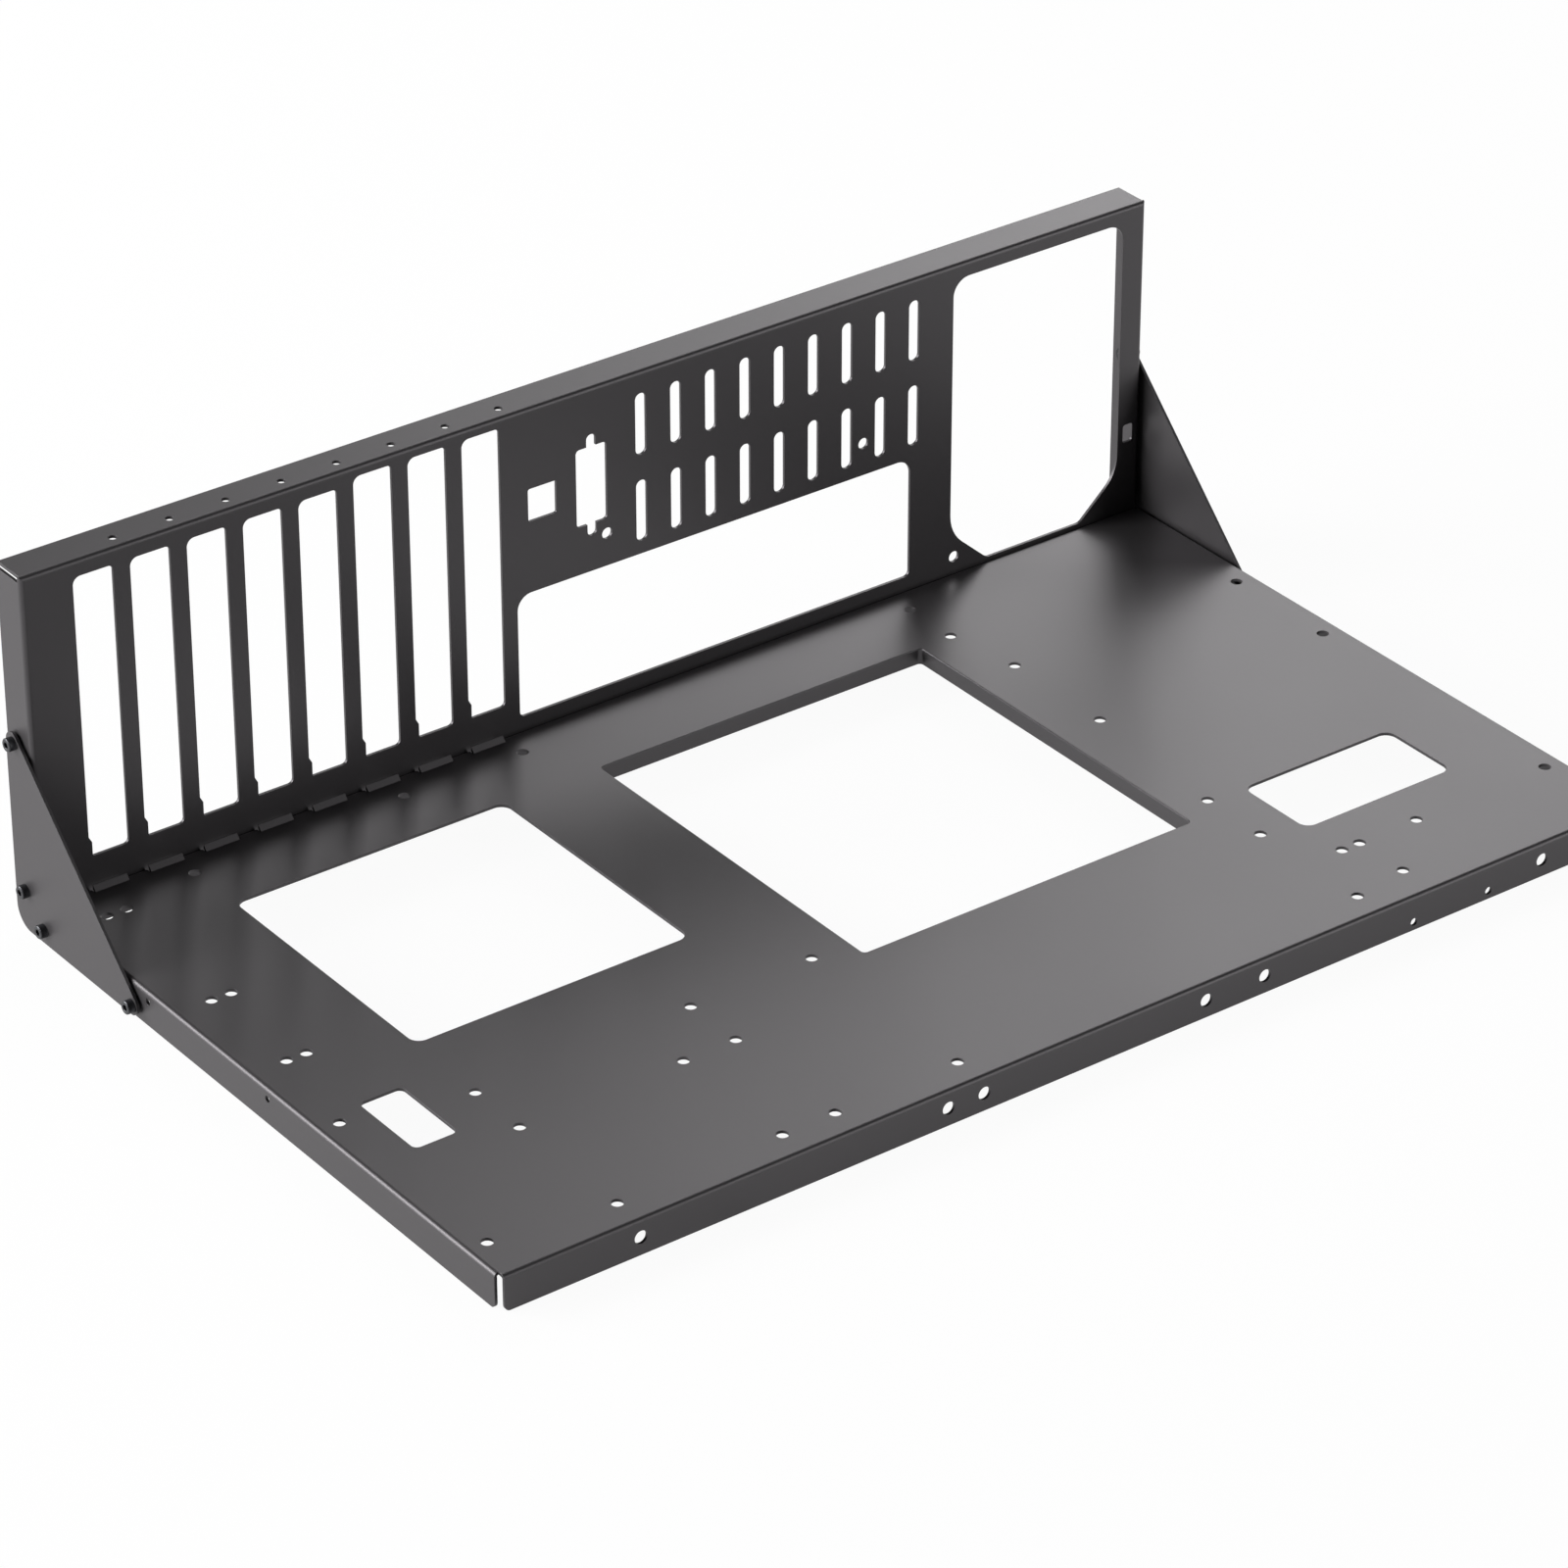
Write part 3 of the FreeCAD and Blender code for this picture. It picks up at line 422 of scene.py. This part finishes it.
def raise_ridges():
    """Draw every second point of the side in, between its plain upper and lower rims."""
    turn = 2 * math.pi / RIM_POINTS
    lowest = SEAT_EDGE + PLAIN_RIM
    highest = CAP_HEIGHT - CAP_CHAMFER - PLAIN_RIM
    choose(
        lambda point: away(point) > CAP_RADIUS - NEAR
        and lowest - NEAR < point.z < highest + NEAR
        and round(math.atan2(point.y, point.x) / turn) % 2 == 0
    )
    bpy.ops.transform.resize(value=(GROOVE_SHARE, GROOVE_SHARE, 1), center_override=(0, 0, 0))


def model_cap():
    inner = CAP_RADIUS - CAP_CHAMFER
    draw_rings(inner)
    choose(lambda point: away(point) > inner - NEAR)
    pull(-CAP_CHAMFER, CAP_RADIUS / inner)
    pull(-PLAIN_RIM)
    pull(CAP_CHAMFER + 2 * PLAIN_RIM + SEAT_EDGE - CAP_HEIGHT)
    pull(-PLAIN_RIM)
    pull(-SEAT_EDGE, SEAT_SHARE)
    bpy.ops.mesh.edge_face_add()
    choose(lambda point: away(point) < MOUTH_RADIUS + NEAR and point.z > CAP_HEIGHT - NEAR)
    pull(-MOUTH_CHAMFER, 1 / MOUTH_FLARE)
    pull(MOUTH_CHAMFER - SOCKET_DEPTH)
    pull(-SOCKET_POINT, 0.0)
    raise_ridges()
    close_up()
    bpy.ops.object.mode_set(mode="OBJECT")
    return bpy.context.object


cap = model_cap()
print("Cap:", len(cap.data.polygons), "faces")

# %% [markdown]
# The thread and the nuts start as an outline, a chain of points that is then turned
# round the axis. A curve could hold it too, but a mesh outline can be screwed or spun
# at once. The pen is a single point: a plane merged to its centre, which is then
# extruded from one place of the outline to the next.

# %% Outline pen
def draw_line(points):
    """Draw an outline from points of radius and height, in the X and Z plane."""
    begin()
    bpy.ops.mesh.primitive_plane_add(size=MM, location=(0, 0, 0))
    bpy.ops.object.mode_set(mode="EDIT")
    bpy.ops.mesh.merge(type="CENTER")
    pen = Vector((0, 0, 0))
    for count, (radius, height) in enumerate(points):
        place = Vector((radius * MM, 0, height * MM))
        if count == 0:
            bpy.ops.transform.translate(value=place)
        else:
            bpy.ops.mesh.extrude_region_move(TRANSFORM_OT_translate={"value": place - pen})
        pen = place
    return bpy.context.object


print("Outline pen ready")

# %% [markdown]
# The thread is one tooth of the outline, screwed down round the axis turn by turn. It
# is drawn from the top and too long, and two planes trim it: one just inside the cap
# and one at the tip, where the last ring is drawn in as the chamfer that finds the nut.
# The planes need a finer threshold than Blender's own, which is a tenth of a millimetre
# and would merge the thread's flanks.

# %% Screw thread
THREAD_RADIUS = 1.25
ROOT_RADIUS = 1.02
THREAD_PITCH = 0.45
SHANK_LENGTH = 5.0
THREAD_STEPS = 28
THREAD_CREST = 0.10
SPARE_TURNS = 3
SUNK_IN_CAP = 0.2
TIP_SHARE = 0.8
TRIM_THRESHOLD = 1e-7


def trim(height, **side):
    """Cut the edited mesh with a level plane, drop one side and close the cut."""
    bpy.ops.mesh.select_all(action="SELECT")
    bpy.ops.mesh.bisect(
        plane_co=(0, 0, height * MM),
        plane_no=(0, 0, 1),
        use_fill=True,
        threshold=TRIM_THRESHOLD,
        **side,
    )


def model_thread():
    turns = math.ceil(SHANK_LENGTH / THREAD_PITCH) + SPARE_TURNS
    head = 2 * THREAD_PITCH
    flank = (1 - THREAD_CREST) / 2
    thread = draw_line([
        (ROOT_RADIUS, head),
        (THREAD_RADIUS, head - flank * THREAD_PITCH),
        (THREAD_RADIUS, head - (1 - flank) * THREAD_PITCH),
        (ROOT_RADIUS, head - THREAD_PITCH),
    ])
    bpy.ops.mesh.select_all(action="SELECT")
    bpy.ops.mesh.screw(steps=THREAD_STEPS, turns=turns, center=(0, 0, 0), axis=(0, 0, 1))
    close_up()
    trim(SUNK_IN_CAP, clear_outer=True)
    trim(-SHANK_LENGTH, clear_inner=True)
    choose(lambda point: point.z < NEAR - SHANK_LENGTH)
    bpy.ops.transform.resize(value=(TIP_SHARE, TIP_SHARE, 1), center_override=(0, 0, 0))
    close_up()
    bpy.ops.object.mode_set(mode="OBJECT")
    return thread


thread = model_thread()
print("Thread:", len(thread.data.polygons), "faces")

# %% [markdown]
# The cap and the thread are joined into one screw, which stands on the origin with its
# seat at height nought. It is copied for each packed screw. An array or linked copies
# would share one mesh, but each copy here needs its own: it gets a turn of its own, as
# no two screws stop at the same angle, and the place and side of the solid that it
# stands for. Its place then goes into its mesh, and its sharp edges stay sharp.

# %% Place the screws
SMOOTH_UNDER = math.radians(28)


def join_all(*pieces):
    """Join meshes into the first one, as one piece."""
    begin()
    for piece in pieces:
        piece.select_set(True)
    bpy.context.view_layer.objects.active = pieces[0]
    bpy.ops.object.join()
    return pieces[0]


def set_down(model, name, node, seat, spin):
    """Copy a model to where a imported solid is, its Z axis pointing out of the side.

    The seat is how far the model's height nought lies from the solid's inner end.
    """
    low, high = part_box(node)
    middle = (low + high) / 2
    right = middle.x > 0
    begin()
    model.select_set(True)
    bpy.context.view_layer.objects.active = model
    bpy.ops.object.duplicate()
    piece = bpy.context.object
    piece.name = name
    piece.data.name = name
    outwards = Matrix.Rotation(math.radians(90 if right else -90), 4, "Y")
    x = low.x + seat * MM if right else high.x - seat * MM
    moved = Matrix.Translation((x, middle.y, middle.z))
    piece.matrix_world = moved @ outwards @ Matrix.Rotation(spin, 4, "Z")
    bpy.ops.object.transform_apply(location=True, rotation=True, scale=True)
    bpy.ops.object.shade_smooth_by_angle(angle=SMOOTH_UNDER)
    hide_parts(node)
    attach(piece, "root")
    return piece


PLACES = [
    f"{side}_{corner}"
    for side in ("left", "right")
    for corner in ("top", "heel", "foot", "toe")
]
TURN_STEP = math.radians(37)

screw_model = join_all(cap, thread)
for count, place in enumerate(PLACES):
    spin = count * TURN_STEP
    screw = set_down(screw_model, f"cap_screw_{place}", f"screw_{place}", SHANK_LENGTH, spin)
    screw.data.materials.append(screw_finish)
bpy.data.objects.remove(screw_model)
print("Screws placed:", len(PLACES))

# %% [markdown]
# A clinch nut is turned from bar: a round body with a broken edge, a pilot that is
# pressed through the flange, and a threaded bore with a countersink at each end. It
# could be put together from cylinders, but one outline holds all of that, so it is
# drawn once and spun round the axis. The bore's thread is made of plain rings: it is
# deep inside, and a helix would not show.

# %% Clinch nut
NUT_RADIUS = 2.8
NUT_HEIGHT = 1.5
PILOT_RADIUS = 2.1
PILOT_HEIGHT = 1.8
BORE_RADIUS = 1.30
BORE_ROOT = 1.42
COUNTERSINK = 1.65
BROKEN_EDGE = 0.15
NUT_STEPS = 64


def model_nut():
    outline = [
        (COUNTERSINK, -NUT_HEIGHT),
        (NUT_RADIUS - BROKEN_EDGE, -NUT_HEIGHT),
        (NUT_RADIUS, BROKEN_EDGE - NUT_HEIGHT),
        (NUT_RADIUS, -BROKEN_EDGE),
        (NUT_RADIUS - BROKEN_EDGE, 0),
        (PILOT_RADIUS, 0),
        (PILOT_RADIUS, PILOT_HEIGHT - BROKEN_EDGE),
        (PILOT_RADIUS - BROKEN_EDGE, PILOT_HEIGHT),
        (COUNTERSINK, PILOT_HEIGHT),
    ]
    cone = COUNTERSINK - BORE_RADIUS
    height = PILOT_HEIGHT - cone
    lowest = cone - NUT_HEIGHT
    while height - THREAD_PITCH > lowest:
        outline.append((BORE_RADIUS, height))
        outline.append((BORE_ROOT, height - THREAD_PITCH / 2))
        height -= THREAD_PITCH
    outline += [(BORE_RADIUS, height), (BORE_RADIUS, lowest), outline[0]]
    nut = draw_line(outline)
    bpy.ops.mesh.select_all(action="SELECT")
    bpy.ops.mesh.spin(steps=NUT_STEPS, angle=2 * math.pi, center=(0, 0, 0), axis=(0, 0, 1))
    close_up()
    bpy.ops.object.mode_set(mode="OBJECT")
    return nut


nut_model = model_nut()
print("Nut:", len(nut_model.data.polygons), "faces")
for count, place in enumerate(PLACES):
    spin = count * TURN_STEP
    nut = set_down(nut_model, f"turned_nut_{place}", f"clinch_nut_{place}", NUT_HEIGHT, spin)
    nut.data.materials.append(nut_finish)
bpy.data.objects.remove(nut_model)
print("Nuts placed:", len(PLACES))

# %% [markdown]
# The floor is a plain sheet of white card, a hair below the chassis. Seen by the camera
# it glows at white with only a trace of its own shading, so that the chassis stands on
# white with a soft contact shadow. Seen in the coat's gloss it glows a little less, so
# that the sheet mirrors a pale floor. To all other light it is plain card.

# %% Floor
WHITE = (1, 1, 1, 1)
CARD = (0.9, 0.9, 0.9, 1)
FLOOR_REACH = 12.0
FLOOR_GAP = 0.0002
SHADE_SHARE = 0.05
MIRROR_SHARE = 0.80


def white_card():
    graph = Graph(bpy.data.materials.new("white_card"))
    path = graph.add("ShaderNodeLightPath")
    card = graph.add("ShaderNodeBsdfDiffuse", None, Color=CARD)
    glow = graph.add("ShaderNodeEmission", None, Color=WHITE, Strength=1.0)
    seen = graph.signal(path, "Is Camera Ray") * (1 - SHADE_SHARE)
    mirrored = graph.signal(path, "Is Glossy Ray") * MIRROR_SHARE
    mix = graph.add(
        "ShaderNodeMixShader",
        None,
        i0=seen + mirrored,
        i1=graph.signal(card),
        i2=graph.signal(glow),
    )
    return finish_surface(graph, mix)


begin()
floor_height = cad_low.z - FLOOR_GAP
bpy.ops.mesh.primitive_plane_add(size=FLOOR_REACH, location=(0, 0, floor_height))
floor = bpy.context.object
floor.name = "studio_floor"
floor.data.materials.append(white_card())
print("Floor side:", FLOOR_REACH, "m")

# %% [markdown]
# The light is that of a photo studio: a dim white room all round, and large square
# lamps that shape the sheet. A dark, half metallic coat shows what it mirrors more than
# its own colour, so each lamp stands where one face sees it. Those at the left light
# the gusset and the side. Those behind, at the right, are mirrored in the tray and in
# the top flange, and make them lighter to the right. Those in front, at the right,
# light the panel and the front flange, which the others leave dark.

# %% Light
ROOM_STRENGTH = 0.10
LEFT_SIDE = (-0.2, 0, 0.05)
TRAY = (0.1, 0, 0)
PANEL = (0, 0, 0.05)


def white_room():
    world = bpy.data.worlds.new("white_room")
    bpy.context.scene.world = world
    graph = Graph(world)
    path = graph.add("ShaderNodeLightPath")
    felt = graph.add("ShaderNodeBackground", None, Color=WHITE, Strength=ROOM_STRENGTH)
    seen = graph.add("ShaderNodeBackground", None, Color=WHITE, Strength=1.0)
    mix = graph.add(
        "ShaderNodeMixShader",
        None,
        i0=graph.signal(path, "Is Camera Ray"),
        i1=graph.signal(felt),
        i2=graph.signal(seen),
    )
    return finish_surface(graph, mix, "ShaderNodeOutputWorld")


def soft_lamp(name, place, target, side, watts):
    """A square lamp of soft light that faces a point on the chassis."""
    data = bpy.data.lights.new(name, "AREA")
    data.shape = "SQUARE"
    data.size = side
    data.energy = watts
    lamp = bpy.data.objects.new(name, data)
    lamp.location = place
    aim = Vector(target) - Vector(place)
    lamp.rotation_euler = aim.to_track_quat("-Z", "Y").to_euler()
    bpy.context.scene.collection.objects.link(lamp)


white_room()
soft_lamp("left_lamp", (-2.2, 0.6, 0.5), LEFT_SIDE, side=1.0, watts=50)
soft_lamp("left_back_lamp", (-1.7, 1.6, 1.0), LEFT_SIDE, side=1.2, watts=60)
soft_lamp("back_lamp", (0.4, 2.6, 1.4), TRAY, side=1.4, watts=4)
soft_lamp("back_right_lamp", (1.7, 1.7, 1.7), TRAY, side=1.4, watts=18)
soft_lamp("back_right_low_lamp", (1.9, 1.6, 1.0), TRAY, side=1.0, watts=10)
soft_lamp("front_right_lamp", (1.8, -2.2, 1.4), PANEL, side=1.4, watts=17)
soft_lamp("front_right_low_lamp", (1.8, -2.4, 0.6), PANEL, side=1.2, watts=13)
